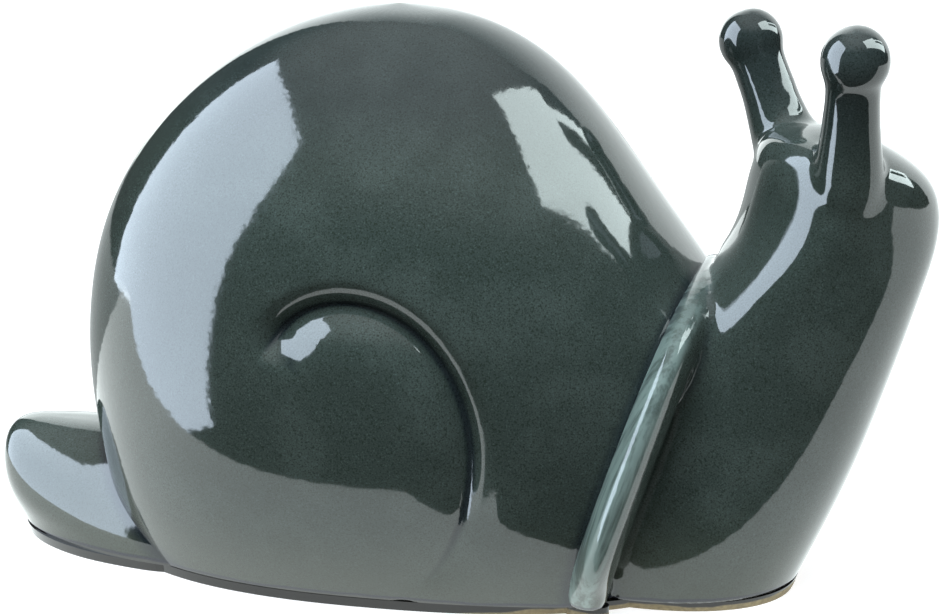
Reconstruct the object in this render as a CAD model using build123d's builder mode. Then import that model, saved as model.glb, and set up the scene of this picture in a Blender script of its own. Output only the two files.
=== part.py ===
# Snail figurine: slip-cast stoneware ornament with a coiled shell and two eye stalks.
# Millimetres. +X points towards the head, +Z up. The origin lies on the table, in the
# middle of the footprint's bounding box. The snail's left is +Y.
# The shell, neck and tail are hollow castings that stand open on the flat sole. Where they
# meet, the later piece is trimmed to the earlier one, as a potter trims it before luting.

import os
from math import copysign, cos, exp, radians, sin, tan

from build123d import *

os.makedirs("parts", exist_ok=True)

# Castings
wall = 5.0                      # thickness that the slip builds up in the mould
overrun = 1.5                   # how far a cut runs past the face that it opens
air_hole_diameter = 8.0         # pierced through each joint, so that trapped air can leave
air_hole_height = 14.0

# Sole
sole_thickness = 2.4
sole_edge = 0.8                 # how far the sole draws in towards the table
vent_diameter = 12.0            # kiln vent under the shell

# Shell
shell_height = 133.5            # crown above the table
shell_half_length = 79.0        # crown's axis to the back of the belly
shell_half_width = 52.0         # at the belly
shell_crown_x = -11.3
shell_squareness = 2.25         # 2 gives an ellipse in plan, more gives flatter sides

# Spiral suture on both sides of the shell
spiral_set_back_share = 0.12    # part of the shell's half length behind its crown
spiral_height_share = 0.4165    # height of the centre, as part of the shell's height
spiral_radius_share = 0.2562    # centre to the suture straight ahead, as part of the height
spiral_growth_share = 0.414     # growth of the radius for each radian turned
spiral_outer_angle = -62.0      # degrees, where the suture runs out above the foot
spiral_inner_angle = 146.0      # degrees, where it dies away on the boss
suture_depth = 6.0
shoulder_width = 5.0            # rounded shoulder on the boss's side
flare_width = 11.0              # long slope on the outer whorl's side
suture_start_share = 0.2        # part of the suture's turn over which it deepens from the foot
suture_fade_share = 0.33        # part over which it dies away on the boss
suture_end_share = 0.02         # depth left at both ends
suture_narrow_share = 0.3       # width left at both ends
groove_steepness = 1.0
ridge_steepness = 2.0           # the ridge inside rises sooner than the suture sinks

# Collar at the shell's mouth
mouth_foot_x = 39.5
mouth_lean = 15.5               # degrees that the mouth's plane leans forward
collar_half_width = 5.0         # along the snail
collar_half_depth = 3.2         # out of the surface

# Neck and head
neck_foot_x = 52.0
neck_lean = 34.0                # how far the head's axis stands forward of the foot's
neck_height = 109.0             # top of the head above the table
neck_half_depth = 32.0
neck_half_width = 27.0
neck_squareness = 2.3
head_turn = 32.0                # degrees, to the snail's left

# Tail
tail_axis_x = -62.0             # inside the shell's back
tail_height = 27.8
tail_length = 51.4              # axis to the blunt tip
tail_half_width = 27.0
tail_squareness = 1.85

# Eye stalks: each stands on a root inside the head and leans outwards and back
stalk_half_spacing = 16.5       # head's axis to the middle of a root
stalk_set_back = 1.0            # roots behind the head's axis
stalk_root_height = 103.0
stalk_root_radius = 8.0
stalk_root_depth = 18.0         # rounded root sunk in the head
right_stalk_length = 26.2       # root to the ball's centre
right_ball_radius = 8.0
right_waist_radius = 6.2
right_waist_share = 0.58        # place of the waist between the root and the ball's centre
right_cap_angle = 40.0          # degrees below its equator at which the ball leaves its stalk
right_lean_out = 12.0           # degrees
right_lean_back = 5.0
left_stalk_length = 24.0
left_ball_radius = 7.6
left_waist_radius = 6.4
left_waist_share = 0.56
left_cap_angle = 34.0
left_lean_out = 24.0
left_lean_back = 13.0

# Rings of the shell: height, back, front and side, as shares of the shell's own sizes
shell_ring_shares = (
    (0.00, 0.865, 0.935, 0.745),
    (0.09, 0.890, 0.910, 0.865),
    (0.21, 0.923, 0.915, 0.960),
    (0.34, 0.945, 0.940, 1.000),
    (0.48, 0.935, 0.945, 0.975),
    (0.62, 0.878, 0.825, 0.890),
    (0.74, 0.768, 0.685, 0.745),
    (0.84, 0.620, 0.560, 0.585),
    (0.92, 0.440, 0.420, 0.415),
    (0.97, 0.258, 0.268, 0.250),
    (0.993, 0.105, 0.122, 0.120),
    (1.00, 0.030, 0.030, 0.030),
)

# Rings of the neck and head: height, lean, back, front, side and turn
neck_ring_shares = (
    (0.00, 0.00, 0.70, 1.00, 0.94, 0.0),
    (0.14, 0.20, 0.75, 1.00, 1.00, 0.0),
    (0.28, 0.38, 0.76, 1.00, 1.02, 0.0),
    (0.42, 0.54, 0.72, 0.99, 1.00, 0.0),
    (0.56, 0.70, 0.64, 0.97, 0.96, 0.1),
    (0.68, 0.82, 0.56, 0.97, 0.91, 0.4),
    (0.78, 0.92, 0.45, 0.96, 0.86, 0.8),
    (0.86, 0.98, 0.42, 0.87, 0.84, 1.0),
    (0.92, 1.00, 0.41, 0.68, 0.81, 1.0),
    (0.96, 1.00, 0.38, 0.46, 0.71, 1.0),
    (0.99, 1.00, 0.26, 0.28, 0.42, 1.0),
    (1.00, 1.00, 0.08, 0.08, 0.11, 1.0),
)

# Rings of the tail: height, back, front and side
tail_ring_shares = (
    (0.00, 0.864, 0.30, 1.03),
    (0.18, 0.945, 0.30, 1.03),
    (0.37, 0.980, 0.30, 1.02),
    (0.57, 0.993, 0.30, 0.96),
    (0.76, 0.988, 0.30, 0.82),
    (0.88, 0.965, 0.30, 0.63),
    (0.95, 0.920, 0.28, 0.40),
    (0.99, 0.820, 0.24, 0.20),
    (1.00, 0.700, 0.20, 0.08),
)

# Heights on the mouth at which its outline is taken for the collar
mouth_height_shares = (0.02, 0.2, 0.4, 0.6, 0.76, 0.89, 0.97)

outline_points = 24             # points on each ring
groove_sections = 15            # sections along the suture


def egg_points(back, front, side, squareness):
    """Points of a closed, egg-shaped outline, starting at its front."""
    points = []
    for step in range(outline_points):
        angle = radians(360 * step / outline_points)
        along = copysign(abs(cos(angle)) ** (2 / squareness), cos(angle))
        across = copysign(abs(sin(angle)) ** (2 / squareness), sin(angle))
        points.append((along * (front if along > 0 else back), across * side))
    return points


def ring(plane, back, front, side, squareness):
    """A filled egg-shaped outline on its own plane."""
    with BuildSketch(plane) as outline:
        with BuildLine():
            Spline(*egg_points(back, front, side, squareness), periodic=True)
        make_face()
    return outline.sketch


def level_rings(shares, axis_x, height, half_length, half_width, squareness):
    """Level rings of a casting, from the sole to its top."""
    rings = []
    for level, back, front, side in shares:
        plane = Plane(origin=(axis_x, 0, sole_thickness + level * (height - sole_thickness)))
        rings.append(ring(plane, back * half_length, front * half_length, side * half_width,
                          squareness))
    return rings


def shell_rings(inset):
    """Rings of the shell, drawn in by an inset."""
    return level_rings(shell_ring_shares, shell_crown_x, shell_height - inset,
                       shell_half_length - inset, shell_half_width - inset, shell_squareness)


def tail_rings(inset):
    """Rings of the tail, drawn in by an inset."""
    return level_rings(tail_ring_shares, tail_axis_x, tail_height - inset,
                       tail_length - inset, tail_half_width - inset, tail_squareness)


def neck_rings(inset):
    """Rings of the neck and head, each turned a little further to the left."""
    rings = []
    height = neck_height - inset - sole_thickness
    half_depth = neck_half_depth - inset
    half_width = neck_half_width - inset
    for level, lean, back, front, side, turn in neck_ring_shares:
        heading = radians(turn * head_turn)
        plane = Plane(origin=(neck_foot_x + lean * neck_lean, 0, sole_thickness + level * height),
                      x_dir=(cos(heading), sin(heading), 0), z_dir=(0, 0, 1))
        rings.append(ring(plane, back * half_depth, front * half_depth, side * half_width,
                          neck_squareness))
    return rings


# The shell's mouth is a plane that leans forward over the neck
mouth_rise = Vector(tan(radians(mouth_lean)), 0, 1)
mouth = Plane(origin=(mouth_foot_x, 0, sole_thickness), x_dir=(0, 1, 0),
              z_dir=Vector(0, 1, 0).cross(mouth_rise))

# Outer forms, still solid
with BuildPart() as dome:
    loft(shell_rings(0))

with BuildPart() as shell_form:
    add(dome.part)
    split(bisect_by=mouth, keep=Keep.BOTTOM)

with BuildPart() as neck_form:
    loft(neck_rings(0))

with BuildPart() as tail_form:
    loft(tail_rings(0))


def mouth_edge():
    """Points round the edge of the shell's mouth, over the top from right to left."""
    above = mouth.origin + mouth_rise * shell_height
    top = dome.part.find_intersection_points(Axis(above, -mouth_rise))[0][0]
    right = []
    for share in mouth_height_shares:
        middle = mouth.origin + (top - mouth.origin) * share
        probe = Axis(middle - Vector(0, shell_half_width + overrun, 0), (0, 1, 0))
        right.append(dome.part.find_intersection_points(probe)[0][0])
    below = right[0] - (right[1] - right[0]).normalized() * collar_half_width
    right.insert(0, below)
    left = [Vector(point.X, -point.Y, point.Z) for point in reversed(right)]
    return right + [top] + left


# Rolled bead round the mouth
with BuildPart() as collar_form:
    with BuildLine() as rim:
        Spline(*mouth_edge())
    with BuildSketch(Plane(origin=rim.line @ 0, x_dir=mouth.z_dir, z_dir=rim.line % 0)):
        Ellipse(collar_half_width, collar_half_depth)
    sweep()
    split(bisect_by=Plane.XY.offset(sole_thickness), keep=Keep.TOP)


def suture_point(angle):
    """Point and outward normal where the suture crosses the shell's right side."""
    centre_x = shell_crown_x - spiral_set_back_share * shell_half_length
    centre_z = spiral_height_share * shell_height
    radius = spiral_radius_share * shell_height * exp(-spiral_growth_share * radians(angle))
    x = centre_x + radius * cos(radians(angle))
    z = centre_z + radius * sin(radians(angle))
    probe = Axis((x, -shell_half_width - overrun, z), (0, 1, 0))
    return shell_form.part.find_intersection_points(probe)[0]


def suture_section(angle, strength, extra):
    """Section of the suture's groove: round shoulder, tight root, long outer slope."""
    point, normal = suture_point(angle)
    step = (spiral_inner_angle - spiral_outer_angle) / groove_sections
    ahead = suture_point(angle + step)[0]
    outward = (ahead - point).cross(normal)
    depth = (suture_depth + extra) * strength
    shoulder = shoulder_width * max(strength, suture_narrow_share) + extra
    flare = flare_width * max(strength, suture_narrow_share) + extra
    with BuildSketch(Plane(origin=point, x_dir=outward, z_dir=outward.cross(normal))) as section:
        with BuildLine():
            EllipticalCenterArc((-shoulder, -depth), shoulder, depth, arc_size=90)
            Spline((0, -depth), (flare, 0), tangents=((1, 0), (1, 0)))
            Polyline((flare, 0), (flare, overrun), (-shoulder, overrun), (-shoulder, 0))
        make_face()
    return section.sketch


def suture_groove(steepness, extra):
    """Cutter for the suture on the right side; a steeper one reaches its full depth sooner."""
    sections = []
    for number in range(groove_sections):
        place = number / (groove_sections - 1)
        angle = spiral_outer_angle + place * (spiral_inner_angle - spiral_outer_angle)
        deepening = steepness * place / suture_start_share + suture_end_share
        fading = steepness * (1 - place) / suture_fade_share + suture_end_share
        strength = min(1, deepening, fading)
        sections.append(suture_section(angle, strength, extra))
    return sections


with BuildPart() as groove:
    loft(suture_groove(groove_steepness, 0))

# The same cutter a wall larger, because the slip follows the groove on the inside
with BuildPart() as inner_ridge:
    loft(suture_groove(ridge_steepness, wall))


def eye_stalk(side, length, ball_radius, cap_angle, waist_radius, waist_share, lean_out,
              lean_back):
    """A solid stalk with a ball end on the head; side is 1 for the left and -1 for the right."""
    heading = radians(head_turn)
    forward = Vector(cos(heading), sin(heading), 0)
    outward = Vector(-sin(heading), cos(heading), 0) * side
    head = Vector(neck_foot_x + neck_lean, 0, stalk_root_height)
    root = head + outward * stalk_half_spacing - forward * stalk_set_back
    rise = Vector(0, 0, 1) + outward * tan(radians(lean_out)) - forward * tan(radians(lean_back))
    level = outward.cross(rise)
    cap = radians(cap_angle)
    neck_out = ball_radius * cos(cap)
    neck_up = length - ball_radius * sin(cap)
    with BuildPart() as stalk:
        with BuildSketch(Plane(origin=root, x_dir=level, z_dir=level.cross(rise))):
            with BuildLine():
                Line((0, length + ball_radius), (0, -stalk_root_depth))
                Spline((0, -stalk_root_depth), (stalk_root_radius, 0),
                       (waist_radius, waist_share * length),
                       (neck_out, neck_up), tangents=((1, 0), (sin(cap), cos(cap))))
                ThreePointArc((neck_out, neck_up), (ball_radius, length), (0, length + ball_radius))
            make_face()
        revolve(axis=Axis(root, rise))
    return stalk


right_stalk_form = eye_stalk(-1, right_stalk_length, right_ball_radius, right_cap_angle,
                             right_waist_radius, right_waist_share, right_lean_out,
                             right_lean_back)
left_stalk_form = eye_stalk(1, left_stalk_length, left_ball_radius, left_cap_angle,
                            left_waist_radius, left_waist_share, left_lean_out, left_lean_back)


def cavity(rings):
    """Hollow of a casting, run out through its open underside."""
    with BuildPart() as hollow:
        loft(rings)
        extrude(rings[0].face(), amount=overrun, dir=(0, 0, -1))
    return hollow


with BuildPart() as shell_hollow:
    add(cavity(shell_rings(wall)).part)
    split(bisect_by=mouth.offset(-wall), keep=Keep.BOTTOM)
    add(inner_ridge.part, mode=Mode.SUBTRACT)

# Each casting less its hollow and less the pieces that it is trimmed to; the shell's two
# sides are alike, so its right half is cut and mirrored
with BuildPart() as shell:
    add(shell_form.part)
    split(bisect_by=Plane.XZ, keep=Keep.TOP)
    add(shell_hollow.part, mode=Mode.SUBTRACT)
    add(groove.part, mode=Mode.SUBTRACT)
    add(collar_form.part, mode=Mode.SUBTRACT)
    with BuildSketch(Plane.YZ.offset(shell_crown_x)):
        with Locations((0, air_hole_height)):
            Circle(air_hole_diameter / 2)
    extrude(amount=shell_half_length + overrun, both=True, mode=Mode.SUBTRACT)
    mirror(about=Plane.XZ)

with BuildPart() as neck_and_head:
    add(neck_form.part)
    add(cavity(neck_rings(wall)).part, mode=Mode.SUBTRACT)
    add(shell_form.part, mode=Mode.SUBTRACT)
    add(collar_form.part, mode=Mode.SUBTRACT)

with BuildPart() as tail:
    add(tail_form.part)
    add(cavity(tail_rings(wall)).part, mode=Mode.SUBTRACT)
    add(shell_form.part, mode=Mode.SUBTRACT)

with BuildPart() as right_eye_stalk:
    add(right_stalk_form.part)
    add(neck_form.part, mode=Mode.SUBTRACT)

with BuildPart() as left_eye_stalk:
    add(left_stalk_form.part)
    add(neck_form.part, mode=Mode.SUBTRACT)

with BuildPart() as shell_lip:
    add(collar_form.part)

# The sole follows the outlines that stand on it and draws in a little towards the table
with BuildPart() as sole:
    for rings in (shell_rings, neck_rings, tail_rings):
        underside = rings(sole_edge)[0].moved(Location((0, 0, -sole_thickness)))
        loft([rings(0)[0], underside])
    for foot in collar_form.faces().filter_by(Plane.XY):
        extrude(foot, amount=sole_thickness, dir=(0, 0, -1))
    with BuildSketch():
        with Locations((shell_crown_x, 0)):
            Circle(vent_diameter / 2)
    extrude(amount=sole_thickness, mode=Mode.SUBTRACT)

pieces = {"shell": shell, "shell_lip": shell_lip, "neck_and_head": neck_and_head, "tail": tail,
          "right_eye_stalk": right_eye_stalk, "left_eye_stalk": left_eye_stalk, "sole": sole}
for name, piece in pieces.items():
    piece.part.label = name
    export_step(piece.part, f"parts/{name}.step")
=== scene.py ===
"""Looks of a glazed stoneware snail figurine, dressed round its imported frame.

Lengths of the snail and its glaze are in millimetres, as a potter would give them, and MM
turns them into the frame's metres. The studio's own lengths are in metres, and angles are
in degrees unless a name says otherwise. +X points to the head, +Y to the snail's left, +Z up.
"""

import logging
import math
from collections.abc import Callable, Iterable, Sequence
from dataclasses import dataclass
from enum import Enum

import bmesh
import bpy
import numpy as np
from mathutils import Matrix, Vector
from mathutils.bvhtree import BVHTree

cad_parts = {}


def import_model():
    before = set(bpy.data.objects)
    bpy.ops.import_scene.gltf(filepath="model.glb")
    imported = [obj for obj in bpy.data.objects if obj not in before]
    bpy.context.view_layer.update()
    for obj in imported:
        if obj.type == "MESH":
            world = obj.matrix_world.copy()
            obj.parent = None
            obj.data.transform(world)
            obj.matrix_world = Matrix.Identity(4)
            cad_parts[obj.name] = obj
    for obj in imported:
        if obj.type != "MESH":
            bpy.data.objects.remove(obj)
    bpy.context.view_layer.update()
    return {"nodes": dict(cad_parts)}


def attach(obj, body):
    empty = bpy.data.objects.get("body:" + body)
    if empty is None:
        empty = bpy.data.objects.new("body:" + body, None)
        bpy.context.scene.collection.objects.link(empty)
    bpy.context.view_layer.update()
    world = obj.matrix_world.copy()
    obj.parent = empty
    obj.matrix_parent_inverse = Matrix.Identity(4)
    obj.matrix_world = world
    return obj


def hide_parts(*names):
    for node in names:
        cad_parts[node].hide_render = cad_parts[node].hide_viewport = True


MM = 0.001
SAME_LEVEL = 1e-6
LEAST_WEIGHT = 1e-4
SMOOTH_ANGLE = 60.0
LOG = logging.getLogger("snail")

Row = tuple[float, ...]
Section = list[Vector]
Colour = tuple[float, float, float, float]
# Where a soft ramp starts, and its run from there
Ease = tuple[float, float]
# The first and last value of a range
Span = tuple[float, float]

SOFT_EDGE = {"interpolation_type": "SMOOTHSTEP"}
MULTIPLY = {"operation": "MULTIPLY"}
MULTIPLY_ADD = {"operation": "MULTIPLY_ADD"}
ADD = {"operation": "ADD"}
COLOURS = {"data_type": "RGBA"}
NUMBERS = {"data_type": "FLOAT"}


class Close(Enum):
    """How a drawn-up form ends at its last section."""

    POLE = "pole"
    FLAT = "flat"


class Side(Enum):
    """The snail's own sides, as signs along Y."""

    RIGHT = -1
    LEFT = 1


def deselect_all() -> None:
    """Leaves object mode with nothing selected."""
    if bpy.context.object and bpy.context.object.mode != "OBJECT":
        bpy.ops.object.mode_set(mode="OBJECT")
    bpy.ops.object.select_all(action="DESELECT")


def make_active(piece: bpy.types.Object) -> None:
    """Selects one piece alone and makes it the active one.

    Args:
        piece: The mesh object.
    """
    deselect_all()
    piece.select_set(True)
    bpy.context.view_layer.objects.active = piece


def apply_modifier(piece: bpy.types.Object, kind: str, **settings: object) -> None:
    """Adds a modifier to a piece and applies it.

    Args:
        piece: The mesh object.
        kind: The modifier's type, such as SUBSURF.
        settings: The modifier's own settings.
    """
    make_active(piece)
    modifier = piece.modifiers.new(kind.lower(), kind)
    for setting, value in settings.items():
        setattr(modifier, setting, value)
    bpy.ops.object.modifier_apply(modifier=modifier.name)


def fair(piece: bpy.types.Object, levels: int) -> None:
    """Rounds a coarse cage into a fair surface by subdivision."""
    apply_modifier(piece, "SUBSURF", levels=levels, render_levels=levels)


def points_of(piece: bpy.types.Object) -> np.ndarray:
    """Reads all points of a piece's mesh.

    Args:
        piece: The mesh object.

    Returns:
        One row for each point, in metres.
    """
    points = np.empty(len(piece.data.vertices) * 3, np.float32)
    piece.data.vertices.foreach_get("co", points)
    return points.reshape(-1, 3).astype(float)


def smooth_step(share: np.ndarray | float) -> np.ndarray | float:
    """A ramp from 0 to 1 with soft ends."""
    share = np.clip(share, 0.0, 1.0)
    return share * share * (3.0 - 2.0 * share)


def ease(values: np.ndarray | float, start: float, run: float) -> np.ndarray | float:
    """A soft ramp from 0 at the start to 1 a run further on; a negative run ramps downwards."""
    return smooth_step((values - start) / run)


def fair_rows(rows: Sequence[Row], sizes: Sequence[float], count: int) -> np.ndarray:
    """Draws natural splines through a table's columns, spaced evenly along its outline.

    Args:
        rows: The table, one row for each level.
        sizes: What the first columns are multiplied by to measure along the outline.
        count: How many levels to return.

    Returns:
        The table with count rows.
    """
    table = np.array(rows, float)
    outline = table[:, : len(sizes)] * np.array(sizes)
    steps = np.linalg.norm(np.diff(outline, axis=0), axis=1)
    place = np.concatenate(([0.0], np.cumsum(steps)))
    knots = len(place)
    matrix = np.eye(knots)
    bends = np.zeros_like(table)
    for i in range(1, knots - 1):
        before, after = steps[i - 1], steps[i]
        matrix[i, i - 1 : i + 2] = (before, 2.0 * (before + after), after)
        rise_after = (table[i + 1] - table[i]) / after
        rise_before = (table[i] - table[i - 1]) / before
        bends[i] = 6.0 * (rise_after - rise_before)
    bends = np.linalg.solve(matrix, bends)
    wanted = np.linspace(0.0, place[-1], count)
    left = np.clip(np.searchsorted(place, wanted, side="right") - 1, 0, knots - 2)
    width = steps[left][:, None]
    ahead = (place[left + 1] - wanted)[:, None]
    past = (wanted - place[left])[:, None]
    low, high = bends[left], bends[left + 1]
    return (
        (low * ahead**3 + high * past**3) / (6.0 * width)
        + (table[left] / width - low * width / 6.0) * ahead
        + (table[left + 1] / width - high * width / 6.0) * past
    )


def egg_section(
    centre: Vector, back: float, front: float, side: float, turn: float, squareness: float, count: int
) -> Section:
    """A level, egg-shaped outline.

    Args:
        centre: Its middle, in millimetres.
        back: How far it reaches backwards from the middle.
        front: How far it reaches forwards.
        side: Its half width.
        turn: Radians that its front is turned to the left.
        squareness: 2 gives an ellipse, more gives flatter sides.
        count: Number of points.

    Returns:
        The points, in metres.
    """
    points = []
    for step in range(count):
        angle = 2.0 * math.pi * step / count
        along = math.copysign(abs(math.cos(angle)) ** (2.0 / squareness), math.cos(angle))
        across = math.copysign(abs(math.sin(angle)) ** (2.0 / squareness), math.sin(angle))
        ahead = along * (front if along > 0.0 else back)
        aside = across * side
        point = Vector((
            centre.x + ahead * math.cos(turn) - aside * math.sin(turn),
            centre.y + ahead * math.sin(turn) + aside * math.cos(turn),
            centre.z,
        ))
        points.append(point * MM)
    return points


def draw_up(name: str, sections: Sequence[Section], close: Close) -> bpy.types.Object:
    """Draws a form up from a circle, section by section, as clay is pulled on a wheel.

    Args:
        name: The new object's name.
        sections: The points of each section, in metres, all with the same count.
        close: How the last section is closed.

    Returns:
        The closed mesh object.
    """
    deselect_all()
    count = len(sections[0])
    bpy.ops.mesh.primitive_circle_add(vertices=count, radius=MM, fill_type="NGON")
    piece = bpy.context.object
    piece.name = piece.data.name = name
    bpy.ops.object.mode_set(mode="EDIT")
    mesh = bmesh.from_edit_mesh(piece.data)
    order = mesh.verts.layers.int.new("order")
    for index, vertex in enumerate(mesh.verts):
        vertex[order] = index
        vertex.co = sections[0][index]
    for section in sections[1:]:
        bpy.ops.mesh.extrude_region_move()
        mesh = bmesh.from_edit_mesh(piece.data)
        order = mesh.verts.layers.int["order"]
        for vertex in mesh.verts:
            if vertex.select:
                vertex.co = section[vertex[order]]
    if close is Close.POLE:
        bpy.ops.mesh.merge(type="CENTER")
    bpy.ops.mesh.select_all(action="DESELECT")
    bpy.ops.mesh.select_non_manifold()
    mesh = bmesh.from_edit_mesh(piece.data)
    if any(vertex.select for vertex in mesh.verts):
        bpy.ops.mesh.edge_face_add()
    bpy.ops.mesh.select_all(action="SELECT")
    bpy.ops.mesh.normals_make_consistent(inside=False)
    bpy.ops.object.mode_set(mode="OBJECT")
    return piece


def crisp_foot(piece: bpy.types.Object, level: float) -> None:
    """Creases the outline at a level, so that it stays sharp when faired.

    Args:
        piece: The mesh object.
        level: Height of the outline, in millimetres.
    """
    mesh = bmesh.new()
    mesh.from_mesh(piece.data)
    layers = mesh.edges.layers.float
    crease = layers.get("crease_edge") or layers.new("crease_edge")
    for edge in mesh.edges:
        if all(abs(vertex.co.z - level * MM) < SAME_LEVEL for vertex in edge.verts):
            edge[crease] = 1.0
    mesh.to_mesh(piece.data)
    mesh.free()


def trim(piece: bpy.types.Object, origin: Vector, normal: Vector) -> None:
    """Cuts off and closes what lies on the side that a plane's normal points to.

    Args:
        piece: The closed mesh object.
        origin: A point of the plane, in metres.
        normal: The plane's normal, towards the part that goes.
    """
    make_active(piece)
    bpy.ops.object.mode_set(mode="EDIT")
    bpy.ops.mesh.select_all(action="SELECT")
    bpy.ops.mesh.bisect(plane_co=origin, plane_no=normal, use_fill=True, clear_outer=True)
    bpy.ops.object.mode_set(mode="OBJECT")


def refine(piece: bpy.types.Object, wanted: Callable[[np.ndarray], np.ndarray], cuts: int) -> None:
    """Subdivides the faces whose middles are wanted.

    Args:
        piece: The mesh object.
        wanted: Takes middles in metres and returns a mask.
        cuts: Cuts across each face.
    """
    make_active(piece)
    middles = np.empty(len(piece.data.polygons) * 3, np.float32)
    piece.data.polygons.foreach_get("center", middles)
    mask = wanted(middles.reshape(-1, 3).astype(float))
    bpy.context.tool_settings.mesh_select_mode = (False, False, True)
    piece.data.polygons.foreach_set("select", mask)
    bpy.ops.object.mode_set(mode="EDIT")
    bpy.ops.mesh.subdivide(number_cuts=cuts, smoothness=0.0)
    bpy.ops.object.mode_set(mode="OBJECT")
    bpy.context.tool_settings.mesh_select_mode = (True, False, False)


def weigh(piece: bpy.types.Object, name: str, weights: np.ndarray) -> None:
    """Writes weights into a new vertex group, leaving out the points that have none.

    Args:
        piece: The mesh object.
        name: The group's name.
        weights: One weight for each point, from 0 to 1.
    """
    group = piece.vertex_groups.new(name=name)
    for index in np.flatnonzero(weights > LEAST_WEIGHT):
        group.add([int(index)], float(weights[index]), "REPLACE")


def soften(piece: bpy.types.Object, name: str, weights: np.ndarray, rounds: int) -> None:
    """Smooths a piece where its weights say.

    Args:
        piece: The mesh object.
        name: Name of the new vertex group that holds the weights.
        weights: One weight for each point, from 0 to 1.
        rounds: How many times each point moves halfway to its neighbours' middle.
    """
    weigh(piece, name, weights)
    apply_modifier(piece, "SMOOTH", factor=0.5, iterations=rounds, vertex_group=name)


@dataclass
class Mouth:
    """The shell's mouth: a plane that leans forward over the neck."""

    foot_x: float = 38.6
    foot_z: float = 2.4
    lean: float = 18.0

    def origin(self) -> Vector:
        """The foot of the plane, in metres."""
        return Vector((self.foot_x, 0.0, self.foot_z)) * MM

    def rise(self) -> Vector:
        """The direction up the plane."""
        return Vector((math.tan(math.radians(self.lean)), 0.0, 1.0)).normalized()

    def normal(self) -> Vector:
        """The direction out of the shell's mouth."""
        return Vector((0.0, 1.0, 0.0)).cross(self.rise()).normalized()

    def ahead(self, points: np.ndarray) -> np.ndarray:
        """How far points, in millimetres, lie ahead of the plane."""
        return (points - np.array(self.origin()) / MM) @ np.array(self.normal())


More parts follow.
